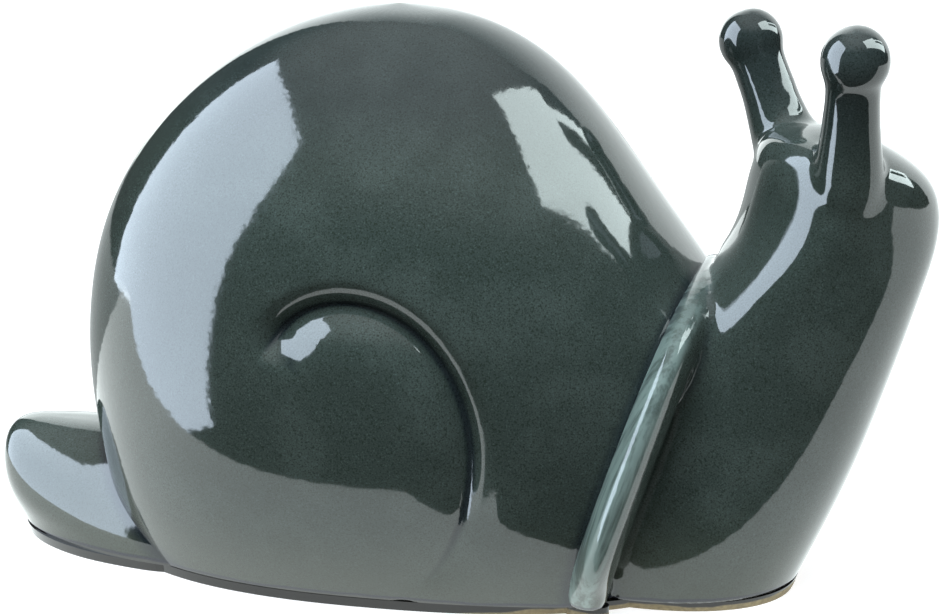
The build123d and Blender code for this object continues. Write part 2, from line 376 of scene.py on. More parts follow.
@dataclass
class Suture:
    """The spiral furrow between the whorls, the same on both sides.

    It is cut along a logarithmic spiral. Inwards from its root, its wall rounds over the
    inner whorl, the boss. Outwards, a steep wall runs into a gentle flare. A share is 0 at
    the outer end of its run and 1 at the inner one.
    """

    centre_x: float = -20.8
    centre_z: float = 55.6
    radius: float = 34.2
    growth: float = 0.414
    outer_angle: float = -76.0
    inner_angle: float = 158.0
    first_angle: float = -120.0
    depth: float = 6.0
    shoulder: float = 4.5
    shoulder_power: float = 3.0
    boss: float = 17.0
    boss_power: float = 2.0
    boss_share: float = 0.8
    boss_ease: Ease = (0.4, 0.3)
    flare: float = 12.0
    flare_end: float = 4.6
    flare_power: float = 4.7
    steep_slope: float = 1.5
    gentle_slope: float = 0.333
    gentle_knee: float = 0.02
    slope_knee: float = 0.004
    outer_fade: float = 0.27
    inner_fade: float = 0.2
    foot_ease: Ease = (2.4, 9.0)
    fillet: float = 1.7
    fillet_gain: float = 1.6
    fillet_run: Span = (-0.02, 1.0)
    wall_inwards: float = 0.6
    wall_outwards: float = 1.4
    wall_run: Span = (-0.05, 1.03)
    root_inwards: float = 0.4
    root_reach: float = 1.4
    root_run: Span = (-0.03, 1.0)

    def across(self, points: np.ndarray) -> tuple[np.ndarray, np.ndarray, np.ndarray]:
        """Where points lie beside the spiral.

        Args:
            points: Points in metres.

        Returns:
            The distance outwards from the spiral in millimetres, the share of its run,
            and how far it runs there from the boss's middle, square to itself.
        """
        x = points[:, 0] / MM - self.centre_x
        z = points[:, 2] / MM - self.centre_z
        angle = np.degrees(np.arctan2(z, x))
        angle = np.where(angle < self.first_angle, angle + 360.0, angle)
        line = self.radius * np.exp(-self.growth * np.radians(angle))
        pitch = math.cos(math.atan(self.growth))
        share = (angle - self.outer_angle) / (self.inner_angle - self.outer_angle)
        return (np.hypot(x, z) - line) * pitch, share, line * pitch

    def width(self, share: np.ndarray) -> np.ndarray:
        """Width of the furrow's outer side at shares of the run, in millimetres."""
        left = np.clip(1.0 - share, 0.0, 1.0) ** self.flare_power
        return self.flare_end + (self.flare - self.flare_end) * left

    def inner_wall(self, across: np.ndarray, share: np.ndarray, line: np.ndarray) -> np.ndarray:
        """Shape of the wall over the inner whorl.

        Args:
            across: Distance outwards from the spiral, in millimetres.
            share: Share of the spiral's run.
            line: Distance of the spiral from the boss's middle, in millimetres.

        Returns:
            Shares of the full depth.
        """
        shoulder = np.clip(1.0 + across / self.shoulder, 0.0, 1.0) ** self.shoulder_power
        boss = np.clip(1.0 + across / np.minimum(self.boss, line), 0.0, 1.0) ** self.boss_power
        round_share = self.boss_share + (1.0 - self.boss_share) * ease(share, *self.boss_ease)
        return (1.0 - round_share) * shoulder + round_share * boss

    def outer_wall(self, across: np.ndarray, share: np.ndarray) -> np.ndarray:
        """Shape of the steep wall and its flare.

        Args:
            across: Distance outwards from the spiral, in millimetres.
            share: Share of the spiral's run.

        Returns:
            Shares of the full depth.
        """
        left = 1.0 - across / self.width(share)
        steep = self.steep_slope * left - (self.steep_slope - 1.0)
        gentle = self.gentle_slope * (left + np.sqrt(left**2 + self.gentle_knee))
        wall = 0.5 * (steep + gentle + np.sqrt((steep - gentle) ** 2 + self.slope_knee))
        return np.minimum(wall * smooth_step(left + 1.0), 1.0)

    def carve(self, points: np.ndarray) -> np.ndarray:
        """How deep the furrow is cut.

        Args:
            points: Points in metres.

        Returns:
            Shares of the full depth.
        """
        across, share, line = self.across(points)
        inner, outer = self.inner_wall(across, share, line), self.outer_wall(across, share)
        profile = np.where(across < 0.0, inner, outer)
        run_in = smooth_step(share / self.outer_fade)
        run_out = smooth_step((1.0 - share) / self.inner_fade)
        return profile * run_in * run_out * ease(points[:, 2] / MM, *self.foot_ease)

    def walls(self, points: np.ndarray) -> np.ndarray:
        """Marks the furrow's steep walls, where the mesh needs small faces.

        Args:
            points: Points in metres.

        Returns:
            A mask.
        """
        across, share, _ = self.across(points)
        outer = np.minimum(self.width(share), self.wall_outwards * self.shoulder)
        near = (across > -self.wall_inwards * self.shoulder) & (across < outer)
        return near & (share > self.wall_run[0]) & (share < self.wall_run[1])

    def root(self, points: np.ndarray) -> np.ndarray:
        """Marks the furrow's root, where the mesh needs the smallest faces.

        Args:
            points: Points in metres.

        Returns:
            A mask.
        """
        across, share, _ = self.across(points)
        near = np.abs(across + self.root_inwards) < self.root_reach
        return near & (share > self.root_run[0]) & (share < self.root_run[1])

    def fill(self, points: np.ndarray) -> np.ndarray:
        """How much the glaze rounds the furrow's root.

        Args:
            points: Points in metres.

        Returns:
            Shares from 0 to 1.
        """
        across, share, _ = self.across(points)
        gain = self.fillet_gain
        near = np.clip(gain - gain * np.abs(across) / self.fillet, 0.0, 1.0)
        return near * ((share > self.fillet_run[0]) & (share < self.fillet_run[1]))


@dataclass
class ShellCasting:
    """The coiled shell: a tall dome, flat at its mouth, furrowed by the suture.

    A row of its outline is a level as a share of the height, then how far the shell
    reaches there to the back, front and side, as shares of its half length and width.
    """

    mouth: Mouth
    suture: Suture
    height: float = 133.5
    half_length: float = 79.0
    half_width: float = 52.0
    crown_x: float = -11.3
    squareness: float = 2.25
    foot: float = 2.4
    levels: int = 22
    points: int = 44
    fillet_rounds: int = 9
    rows: Sequence[Row] = (
        (0.00, 0.865, 1.080, 0.745),
        (0.09, 0.890, 1.090, 0.865),
        (0.21, 0.923, 1.090, 0.960),
        (0.34, 0.945, 1.060, 1.000),
        (0.48, 0.935, 0.985, 0.975),
        (0.62, 0.878, 0.825, 0.890),
        (0.74, 0.768, 0.685, 0.745),
        (0.84, 0.620, 0.560, 0.585),
        (0.92, 0.440, 0.420, 0.415),
        (0.97, 0.258, 0.268, 0.250),
        (0.993, 0.105, 0.122, 0.120),
        (1.00, 0.030, 0.030, 0.030),
    )

    def cage(self) -> bpy.types.Object:
        """Draws up the plain dome as a coarse cage.

        Returns:
            The cage.
        """
        rise = self.height - self.foot
        sections = []
        for level, back, front, side in fair_rows(self.rows, (rise, self.half_length), self.levels):
            centre = Vector((self.crown_x, 0.0, self.foot + level * rise))
            sections.append(egg_section(
                centre, back * self.half_length, front * self.half_length,
                side * self.half_width, 0.0, self.squareness, self.points,
            ))
        dome = draw_up("shell_body", sections, Close.POLE)
        crisp_foot(dome, self.foot)
        return dome

    def build(self) -> tuple[bpy.types.Object, bpy.types.Object]:
        """Builds the shell.

        Returns:
            The finished shell, and the fine plain dome that it was fitted to.
        """
        shell = self.cage()
        make_active(shell)
        bpy.ops.object.duplicate()
        dome = bpy.context.object
        dome.name = "dome_mould"
        fair(dome, levels=4)
        fair(shell, levels=2)
        refine(shell, self.suture.walls, cuts=2)
        refine(shell, self.suture.root, cuts=1)
        apply_modifier(shell, "SHRINKWRAP", target=dome, wrap_method="NEAREST_SURFACEPOINT")
        weigh(shell, "furrow", self.suture.carve(points_of(shell)))
        apply_modifier(
            shell, "DISPLACE", strength=-self.suture.depth * MM, mid_level=0.0,
            direction="NORMAL", vertex_group="furrow",
        )
        soften(shell, "fillet", self.suture.fill(points_of(shell)), self.fillet_rounds)
        trim(shell, self.mouth.origin(), self.mouth.normal())
        return shell, dome


@dataclass
class MouthLip:
    """The rolled bead round the shell's mouth, from foot to foot over the top.

    Its profile is given ahead of the mouth's plane and outwards from the shell there, and
    its angles turn about a hub in that plane, from the snail's left.
    """

    mouth: Mouth
    hub_z: float = 34.0
    start_angle: float = 236.0
    sweep: float = 292.0
    far_out: float = 200.0
    stations: int = 72
    outline_points: int = 28
    top_height: float = 0.4
    top_power: int = 3
    foot_height: float = 0.3
    foot_rise: float = 16.0
    profile: Sequence[Row] = (
        (-7.0, -3.0),
        (-5.6, -0.6),
        (-4.2, 2.2),
        (-2.6, 5.2),
        (-0.8, 7.2),
        (1.2, 7.2),
        (3.4, 5.0),
        (4.6, 0.6),
        (4.4, -6.0),
        (1.5, -9.0),
        (-3.5, -9.0),
        (-8.0, -6.5),
    )

    def hub(self) -> Vector:
        """The point in the mouth's plane that the bead goes round, in metres."""
        rise = self.mouth.rise()
        return self.mouth.origin() + rise * (self.hub_z * MM / rise.z)

    def path(self, dome: bpy.types.Object) -> Section:
        """Finds the line where the mouth's plane cuts the dome.

        Args:
            dome: The fine plain dome.

        Returns:
            Points from the right foot over the top to the left one, in metres.
        """
        tree = BVHTree.FromObject(dome, bpy.context.evaluated_depsgraph_get())
        hub, rise = self.hub(), self.mouth.rise()
        aside = Vector((0.0, 1.0, 0.0))
        points = []
        for station in range(self.stations + 1):
            angle = math.radians(self.start_angle - self.sweep * station / self.stations)
            heading = aside * math.cos(angle) + rise * math.sin(angle)
            points.append(tree.ray_cast(hub + heading * (self.far_out * MM), -heading)[0])
        return points

    def height(self, point: Vector) -> float:
        """How proud the bead stands at a point of its path.

        Args:
            point: The point, in metres.

        Returns:
            A share of the profile's height, less at the top and at the feet.
        """
        top = max(0.0, (point - self.hub()).normalized().dot(self.mouth.rise())) ** self.top_power
        height = 1.0 - top * (1.0 - self.top_height)
        up = float(ease(point.z / MM, self.mouth.foot_z, self.foot_rise))
        return height * (self.foot_height + (1.0 - self.foot_height) * up)

    def build(self, dome: bpy.types.Object) -> bpy.types.Object:
        """Sweeps the bead along the line where the mouth's plane cuts the dome.

        Args:
            dome: The fine plain dome.

        Returns:
            The bead.
        """
        path, hub, normal = self.path(dome), self.hub(), self.mouth.normal()
        loop = [*self.profile, self.profile[0]]
        outline = fair_rows(loop, (1.0, 1.0), self.outline_points + 1)[:-1]
        sections = []
        for number, point in enumerate(path):
            along = path[min(number + 1, self.stations)] - path[max(number - 1, 0)]
            outward = normal.cross(along).normalized()
            if outward.dot(point - hub) < 0.0:
                outward.negate()
            height = self.height(point)
            section = []
            for forward, out in outline:
                out = out * height if out > 0.0 else out
                section.append(point + (normal * float(forward) + outward * float(out)) * MM)
            sections.append(section)
        lip = draw_up("mouth_lip", sections, Close.FLAT)
        fair(lip, levels=1)
        trim(lip, Vector((0.0, 0.0, self.mouth.foot_z * MM)), Vector((0.0, 0.0, -1.0)))
        return lip


@dataclass
class EyeStalk:
    """A stalk with a ball end, which widens into a root inside the head."""

    side: Side
    length: float
    ball: float
    cap_angle: float
    waist: float
    waist_share: float
    lean_out: float
    lean_back: float
    root_radius: float = 8.0
    root_depth: float = 14.0
    root_swell: float = 1.02
    root_end: float = 0.7
    stem_levels: int = 14
    cap_levels: int = 10
    points: int = 24

    def outline(self) -> list[tuple[float, float]]:
        """Heights above the root and radii, from the root's end to the top of the ball.

        Returns:
            The outline, in millimetres.
        """
        cap = math.radians(self.cap_angle)
        knots = (
            (-self.root_depth, self.root_radius * self.root_end),
            (-0.5 * self.root_depth, self.root_radius * self.root_swell),
            (0.0, self.root_radius),
            (self.waist_share * self.length, self.waist),
            (self.length - self.ball * math.sin(cap), self.ball * math.cos(cap)),
        )
        stem = fair_rows(knots, (1.0, 1.0), self.stem_levels)
        outline = [(float(up), float(out)) for up, out in stem]
        for step in range(1, self.cap_levels):
            angle = -cap + (math.pi / 2.0 + cap) * step / self.cap_levels
            outline.append((self.length + self.ball * math.sin(angle), self.ball * math.cos(angle)))
        return outline

    def build(self, head: Vector, heading: float, spacing: float, set_back: float) -> bpy.types.Object:
        """Draws the stalk up from its root in the head.

        Args:
            head: The middle of the head at the roots' height, in millimetres.
            heading: Radians that the head is turned to the left.
            spacing: Half the distance between the roots.
            set_back: How far the roots stand behind the middle.

        Returns:
            The stalk.
        """
        forward = Vector((math.cos(heading), math.sin(heading), 0.0))
        outward = Vector((-math.sin(heading), math.cos(heading), 0.0)) * self.side.value
        root = head + outward * spacing - forward * set_back
        rise = Vector((0.0, 0.0, 1.0)) + outward * math.tan(math.radians(self.lean_out))
        rise = (rise - forward * math.tan(math.radians(self.lean_back))).normalized()
        level = outward.cross(rise).normalized()
        third = rise.cross(level)
        sections = []
        for up, out in self.outline():
            middle = root + rise * up
            ring = []
            for step in range(self.points):
                turn = 2.0 * math.pi * step / self.points
                ring.append((middle + (level * math.cos(turn) + third * math.sin(turn)) * out) * MM)
            sections.append(ring)
        stalk = draw_up(f"{self.side.name.lower()}_stalk", sections, Close.POLE)
        fair(stalk, levels=2)
        return stalk


@dataclass
class HeadAndNeck:
    """The neck and head with both eye stalks, thrown into one by the slip at the joints.

    A row of its outline is a level as a share of the height, then how far the neck reaches
    back, leans forward, reaches forward and to the side, and turns, each as a share.
    """

    mouth: Mouth
    right: EyeStalk
    left: EyeStalk
    foot_x: float = 52.0
    lean: float = 34.0
    height: float = 109.0
    half_depth: float = 32.0
    half_width: float = 27.0
    squareness: float = 2.1
    head_turn: float = 32.0
    foot: float = 2.4
    root_height: float = 103.0
    root_spacing: float = 16.5
    root_set_back: float = 1.0
    grain: float = 0.7
    levels: int = 26
    points: int = 40
    foot_clear: Ease = (4.0, 4.0)
    roots_from: Ease = (88.0, 10.0)
    roots_to: Ease = (116.0, -6.0)
    crease_from: Ease = (1.5, 3.0)
    crease_to: Ease = (13.0, -5.0)
    # Where the lip's face carries thinner glaze and a painted sheen
    thin_and_sheen_ahead: Ease = (3.4, -2.0)
    thin_and_sheen_up: Ease = (84.0, -26.0)
    rounds_all: int = 8
    rounds_roots: int = 45
    rounds_crease: int = 70
    rows: Sequence[Row] = (
        (0.00, 1.30, 0.00, 1.00, 1.00, 0.0),
        (0.14, 1.35, 0.20, 1.00, 1.02, 0.0),
        (0.28, 1.30, 0.38, 1.00, 1.01, 0.0),
        (0.42, 1.15, 0.54, 0.99, 0.98, 0.0),
        (0.56, 0.86, 0.70, 0.97, 0.94, 0.1),
        (0.68, 0.60, 0.82, 0.97, 0.90, 0.4),
        (0.78, 0.45, 0.92, 0.96, 0.86, 0.8),
        (0.86, 0.42, 0.98, 0.87, 0.84, 1.0),
        (0.92, 0.41, 1.00, 0.68, 0.81, 1.0),
        (0.96, 0.38, 1.00, 0.46, 0.71, 1.0),
        (0.99, 0.26, 1.00, 0.28, 0.42, 1.0),
        (1.00, 0.08, 1.00, 0.08, 0.11, 1.0),
    )

    def neck(self) -> bpy.types.Object:
        """Draws up the neck and head alone.

        Returns:
            The neck, trimmed at the shell's mouth.
        """
        rise = self.height - self.foot
        sections = []
        for level, back, lean, front, side, turn in fair_rows(
            self.rows, (rise, self.half_depth), self.levels
        ):
            centre = Vector((self.foot_x + lean * self.lean, 0.0, self.foot + level * rise))
            sections.append(egg_section(
                centre, back * self.half_depth, front * self.half_depth, side * self.half_width,
                math.radians(turn * self.head_turn), self.squareness, self.points,
            ))
        neck = draw_up("head_and_neck", sections, Close.POLE)
        crisp_foot(neck, self.foot)
        fair(neck, levels=2)
        trim(neck, self.mouth.origin(), -self.mouth.normal())
        return neck

    def run_together(self, piece: bpy.types.Object) -> None:
        """Rounds the joints, as slip and glaze fill them: the stalks' roots and the lip's crease.

        Args:
            piece: Neck, stalks and lip as one mesh.
        """
        points = points_of(piece) / MM
        height, ahead = points[:, 2], self.mouth.ahead(points)
        clear = ease(height, *self.foot_clear)
        roots = ease(height, *self.roots_from) * ease(height, *self.roots_to)
        crease = ease(ahead, *self.crease_from) * ease(ahead, *self.crease_to)
        soften(piece, "all", clear, self.rounds_all)
        soften(piece, "roots", roots, self.rounds_roots)
        soften(piece, "crease", crease * clear, self.rounds_crease)

    def build(self, lip: bpy.types.Object) -> bpy.types.Object:
        """Joins neck, stalks and the shell's lip.

        Args:
            lip: The bead round the shell's mouth.

        Returns:
            The one piece.
        """
        piece = self.neck()
        head = Vector((self.foot_x + self.lean, 0.0, self.root_height))
        heading = math.radians(self.head_turn)
        stalks = [
            stalk.build(head, heading, self.root_spacing, self.root_set_back)
            for stalk in (self.right, self.left)
        ]
        deselect_all()
        for part in (piece, lip, *stalks):
            part.select_set(True)
        bpy.context.view_layer.objects.active = piece
        bpy.ops.object.join()
        apply_modifier(piece, "REMESH", mode="VOXEL", voxel_size=self.grain * MM, adaptivity=0.0)
        self.run_together(piece)
        return piece

    def thin_glaze_and_sheen(self, piece: bpy.types.Object) -> np.ndarray:
        """How thinly the glaze runs over the flanks of the lip, where a pale painted sheen lies too.

        Args:
            piece: The finished piece.

        Returns:
            Shares from 0 to 1, one for each point.
        """
        points = points_of(piece) / MM
        return ease(self.mouth.ahead(points), *self.thin_and_sheen_ahead) * ease(points[:, 2], *self.thin_and_sheen_up)


@dataclass
class TailCasting:
    """The blunt tail that comes out under the back of the shell.

    A row of its outline is a level as a share of the height, then how far the tail reaches
    back, forward and to the side, and how much its flanks spread towards the shell.
    """

    axis_x: float = -50.0
    height: float = 27.8
    length: float = 63.4
    half_width: float = 29.0
    squareness: float = 1.85
    top_squareness: float = 3.3
    top_ease: Ease = (0.0, 0.8)
    spread_ease: Ease = (-80.0, 18.0)
    foot: float = 2.4
    end_x: float = -52.0
    levels: int = 18
    points: int = 40
    rows: Sequence[Row] = (
        (0.00, 0.893, 0.20, 1.03, 0.00),
        (0.18, 0.928, 0.20, 0.97, 0.04),
        (0.37, 0.950, 0.20, 0.86, 0.10),
        (0.57, 0.960, 0.20, 0.72, 0.18),
        (0.76, 0.960, 0.20, 0.57, 0.24),
        (0.88, 0.948, 0.20, 0.44, 0.24),
        (0.95, 0.920, 0.18, 0.32, 0.24),
        (0.99, 0.850, 0.16, 0.18, 0.24),
        (1.00, 0.757, 0.14, 0.07, 0.24),
    )

    def build(self) -> bpy.types.Object:
        """Draws the tail up and trims it inside the shell.

        Returns:
            The tail.
        """
        rise = self.height - self.foot
        rows = fair_rows(self.rows, (rise, self.length, 0.0, self.half_width), self.levels)
        sections = []
        for level, back, front, side, spread in rows:
            centre = Vector((self.axis_x, 0.0, self.foot + level * rise))
            boxy = float(ease(level, *self.top_ease))
            section = egg_section(
                centre, back * self.length, front * self.length, side * self.half_width,
                0.0, self.squareness + boxy * (self.top_squareness - self.squareness), self.points,
            )
            for point in section:
                point.y *= 1.0 + float(spread * ease(point.x / MM, *self.spread_ease))
            sections.append(section)
        tail = draw_up("tail_end", sections, Close.FLAT)
        crisp_foot(tail, self.foot)
        fair(tail, levels=3)
        trim(tail, Vector((self.end_x, 0.0, 0.0)) * MM, Vector((1.0, 0.0, 0.0)))
        return tail


@dataclass(frozen=True)
class GlazeFlowAndShade:
    """How the molten glaze ran: it pools in hollows and joints, where painted shade darkens them too,
    and breaks thinly over edges, where a pale painted sheen lies too.
    """

    reach: float = 2.2
    least_rounds: int = 4
    most_rounds: int = 60
    least_bend: float = 0.04
    bend_run: float = 0.22
    hollow_share: float = 0.8
    joint_power: float = 0.7

    def levelled(self, mesh: bpy.types.Mesh, points: np.ndarray) -> np.ndarray:
        """Averages points with their neighbours, over about the flow's reach.

        Args:
            mesh: The mesh.
            points: Its points, in metres.

        Returns:
            The averaged points, in metres.
        """
        ends = np.empty(len(mesh.edges) * 2, np.int32)
        mesh.edges.foreach_get("vertices", ends)
        one, two = ends.reshape(-1, 2).T
        degree = np.maximum(np.bincount(ends, minlength=len(points)), 1)[:, None]
        length = np.linalg.norm(points[one] - points[two], axis=1)
        rounds = (self.reach * MM / np.median(length)) ** 2
        soft = points.copy()
        for _ in range(int(np.clip(rounds, self.least_rounds, self.most_rounds))):
            total = np.empty_like(soft)
            for axis in range(3):
                total[:, axis] = np.bincount(one, soft[two, axis], len(soft))
                total[:, axis] += np.bincount(two, soft[one, axis], len(soft))
            soft = 0.5 * soft + 0.5 * total / degree
        return soft

    def mark(
        self, piece: bpy.types.Object, others: Iterable[bpy.types.Object],
        thin_and_sheen: np.ndarray | None = None,
    ) -> None:
        """Marks on a piece where glaze pools, with painted shade, and where it breaks thinly, with
        painted sheen, as point attributes.

        Args:
            piece: The mesh object.
            others: Pieces that it touches, whose joints with it collect glaze and painted shade.
            thin_and_sheen: How thinly the glaze runs at each point, and how much painted sheen lies
                there, or None for nowhere.
        """
        mesh = piece.data
        points = points_of(piece)
        normals = np.empty(len(mesh.vertices) * 3, np.float32)
        mesh.vertices.foreach_get("normal", normals)
        hollow = self.levelled(mesh, points) - points
        bend = np.einsum("ij,ij->i", hollow, normals.reshape(-1, 3)) / MM
        pool_and_shade = np.clip((bend - self.least_bend) / self.bend_run, 0.0, 1.0) * self.hollow_share
        reach = self.reach * MM
        for other in others:
            tree = BVHTree.FromObject(other, bpy.context.evaluated_depsgraph_get())
            for index, point in enumerate(points):
                place, _, _, distance = tree.find_nearest(Vector(point), reach)
                if place is not None:
                    pool_and_shade[index] = max(pool_and_shade[index], (1.0 - distance / reach) ** self.joint_power)
        thin_and_sheen = np.zeros_like(pool_and_shade) if thin_and_sheen is None else thin_and_sheen
        for label, values in (("pool_and_shade", pool_and_shade), ("thin_and_sheen", thin_and_sheen)):
            attribute = mesh.attributes.new(label, "FLOAT", "POINT")
            attribute.data.foreach_set("value", values.astype(np.float32))


def linear(hex_colour: str) -> Colour:
    """Turns an sRGB hex colour into the linear colour that a shader takes.

    Args:
        hex_colour: A hash sign and six digits.

    Returns:
        Red, green, blue and an alpha of 1.
    """
    digits = hex_colour.lstrip("#")
    channels = []
    for start in (0, 2, 4):
        value = int(digits[start : start + 2], 16) / 255.0
        channels.append(value / 12.92 if value <= 0.04045 else ((value + 0.055) / 1.055) ** 2.4)
    return (*channels, 1.0)


def add_node(
    tree: bpy.types.NodeTree, kind: str, settings: dict[str, object] | None = None, **inputs: object
) -> bpy.types.Node:
    """Adds a node with its settings, values and links.

    Args:
        tree: The node tree.
        kind: The node's type.
        settings: The node's own properties.
        inputs: Values or sockets for its inputs. An underscore in a name stands for a space,
            and i with a number for the input at that place.

    Returns:
        The node.
    """
    node = tree.nodes.new(kind)
    for setting, value in (settings or {}).items():
        setattr(node, setting, value)
    for label, value in inputs.items():
        key = int(label[1:]) if label[0] == "i" and label[1:].isdigit() else label.replace("_", " ")
        if isinstance(value, bpy.types.NodeSocket):
            tree.links.new(value, node.inputs[key])
        else:
            node.inputs[key].default_value = value
    return node


def empty_material(name: str) -> bpy.types.Material:
    """Makes a material whose node tree has nothing in it.

    Args:
        name: The material's name.

    Returns:
        The material.
    """
    material = bpy.data.materials.new(name)
    material.use_nodes = True
    material.node_tree.nodes.clear()
    return material


def cover(
    tree: bpy.types.NodeTree, under: Colour | bpy.types.NodeSocket, over: str,
    share: bpy.types.NodeSocket,
) -> bpy.types.NodeSocket:
    """Lays one colour over another."""
    mix = add_node(tree, "ShaderNodeMix", COLOURS, i0=share, i6=under, i7=linear(over))
    return mix.outputs[2]


@dataclass(frozen=True)
class Coat:
    """One colour in the glaze, which covers the others from one value of a pattern to another."""

    colour: str
    start: float
    full: float
    strength: float = 1.0

    def lay(
        self, tree: bpy.types.NodeTree, under: Colour | bpy.types.NodeSocket,
        pattern: bpy.types.NodeSocket,
    ) -> bpy.types.NodeSocket:
        """Lays the coat over a colour.

        Args:
            tree: The node tree.
            under: The colour so far.
            pattern: The value that the coat follows.

        Returns:
            The new colour.
        """
        share = add_node(
            tree, "ShaderNodeMapRange", SOFT_EDGE,
            Value=pattern, From_Min=self.start, From_Max=self.full, To_Max=self.strength,
        )
        return cover(tree, under, self.colour, share.outputs["Result"])


@dataclass(frozen=True)
class ReactiveGlaze:
    """Iron reactive glaze, fired glossy on stoneware: a dark grey-green glass.

    Grains are a name, a width in millimetres and the noise's detail. The speckle's grain of
    a third of a millimetre is about one and a half pixels wide in the view.
    """

    name: str = "reactive glaze on stoneware"
    grains: Sequence[tuple[str, float, float]] = (
        ("cloud", 18.182, 3.0),
        ("speckle", 0.37037, 2.0),
        ("run", 11.111, 2.0),
        ("wave", 14.286, 2.0),
        ("swell", 7.1429, 2.0),
        ("ripple", 2.0833, 1.0),
    )
    grain_roughness: float = 0.55
    body: str = "#3A4540"
    clouds: Coat = Coat("#444F4A", 0.42, 0.66)
    specks: Coat = Coat("#232B20", 0.5, 0.34, 0.7)
    flecks: Coat = Coat("#7A8F8C", 0.58, 0.74, 0.2)
    foot: Coat = Coat("#3A3C2B", 34.0 * MM, 6.0 * MM, 0.5)
    foot_run: float = 8.0
    # Darker in hollows and joints: pooled glaze, and painted shade where shade falls
    pool_and_shade: str = "#182026"
    second_dip: Coat = Coat("#182026", 100.0 * MM, 120.0 * MM, 0.45)
    # Paler over the lip's face: thinner glaze in streaks, and a painted sheen
    thin_and_sheen: str = "#81948D"
    streak_width: float = 3.0303
    streak_stretch: float = 12.0
    streak_lean: float = 18.0
    hem: Coat = Coat("#4C4946", 4.4 * MM, 3.4 * MM, 0.7)
    hem_wave: float = 1.6
    ink: str = "#1B1B2E"
    ink_strength: float = 0.8
    ink_top: Span = (4.8, 4.2)
    ink_foot: Span = (3.4, 4.1)
    pinhole: str = "#0B0B0A"
    pinhole_spacing: float = 11.7647
    pinhole_edge: Span = (0.038, 0.026)
    pinhole_chance: Span = (0.62, 0.64)
    swell_height: float = 0.04
    ripple_height: float = 0.012
    roughness: float = 0.07
    ior: float = 1.65

    def streaks_and_sheen(self, tree: bpy.types.NodeTree, here: bpy.types.NodeSocket) -> bpy.types.NodeSocket:
        """Where the glaze breaks thinly over the lip, in streaks some 3 mm wide that run down it, over a
        pale painted sheen that covers the lip's face.

        Args:
            tree: The node tree.
            here: The piece's own coordinates.

        Returns:
            A share.
        """
        run = add_node(
            tree, "ShaderNodeMapping", {"vector_type": "TEXTURE"}, Vector=here,
            Rotation=(0.0, math.radians(self.streak_lean), 0.0),
            Scale=(1.0, 1.0, self.streak_stretch),
        )
        streak = add_node(
            tree, "ShaderNodeTexNoise", Vector=run.outputs["Vector"],
            Scale=1.0 / (self.streak_width * MM), Detail=3.0, Roughness=0.6,
        )
        # At least a third pale everywhere on the face: the painted sheen under the streaks
        pale_sheen = add_node(
            tree, "ShaderNodeMapRange", SOFT_EDGE, Value=streak.outputs["Fac"],
            From_Min=0.38, From_Max=0.58, To_Min=0.3, To_Max=0.92,
        )
        thin_and_sheen = add_node(tree, "ShaderNodeAttribute", {"attribute_name": "thin_and_sheen"})
        share = add_node(
            tree, "ShaderNodeMath", MULTIPLY, i0=thin_and_sheen.outputs["Fac"], i1=pale_sheen.outputs["Result"],
        )
        return share.outputs[0]

    def ink_line(self, tree: bpy.types.NodeTree, level: bpy.types.NodeSocket) -> bpy.types.NodeSocket:
        """Where the glaze beaded into a dark line just above the foot.

        Args:
            tree: The node tree.
            level: Height above the ground, with the line's waviness in it.

        Returns:
            A share.
        """
        top, foot = (
            add_node(
                tree, "ShaderNodeMapRange", SOFT_EDGE,
                Value=level, From_Min=start * MM, From_Max=full * MM,
            )
            for start, full in (self.ink_top, self.ink_foot)
        )
        line = add_node(
            tree, "ShaderNodeMath", MULTIPLY, i0=top.outputs["Result"], i1=foot.outputs["Result"],
        )
        share = add_node(tree, "ShaderNodeMath", MULTIPLY, i0=line.outputs[0], i1=self.ink_strength)
        return share.outputs[0]

    def pinholes(self, tree: bpy.types.NodeTree, here: bpy.types.NodeSocket) -> bpy.types.NodeSocket:
        """Pinholes under a millimetre wide, a dozen or so over the whole snail.

        Args:
            tree: The node tree.
            here: The piece's own coordinates.

        Returns:
            A share.
        """
        spots = add_node(
            tree, "ShaderNodeTexVoronoi", Vector=here, Scale=1.0 / (self.pinhole_spacing * MM),
        )
        chance = add_node(tree, "ShaderNodeSeparateColor", Color=spots.outputs["Color"])
        near, rare = (
            add_node(tree, "ShaderNodeMapRange", SOFT_EDGE, Value=value, From_Min=start, From_Max=full)
            for value, (start, full) in (
                (spots.outputs["Distance"], self.pinhole_edge),
                (chance.outputs[0], self.pinhole_chance),
            )
        )
        share = add_node(
            tree, "ShaderNodeMath", MULTIPLY, i0=near.outputs["Result"], i1=rare.outputs["Result"],
        )
        return share.outputs[0]

    def material(self) -> bpy.types.Material:
        """Builds the glaze: a smooth glass with a slight waviness from the firing.

        Returns:
            The material.
        """
        material = empty_material(self.name)
        tree = material.node_tree
        here = add_node(tree, "ShaderNodeTexCoord").outputs["Object"]
        height = add_node(tree, "ShaderNodeSeparateXYZ", Vector=here).outputs["Z"]
        grain = {
            name: add_node(
                tree, "ShaderNodeTexNoise", Vector=here, Scale=1.0 / (width * MM), Detail=detail,
                Roughness=self.grain_roughness,
            ).outputs["Fac"]
            for name, width, detail in self.grains
        }
        colour = self.clouds.lay(tree, linear(self.body), grain["cloud"])
        colour = self.specks.lay(tree, colour, grain["speckle"])
        colour = self.flecks.lay(tree, colour, grain["speckle"])
        # Browner where it ran down to the foot
        run = add_node(
            tree, "ShaderNodeMath", MULTIPLY_ADD, i0=grain["run"], i1=self.foot_run * MM, i2=height,
        )
        colour = self.foot.lay(tree, colour, run.outputs[0])
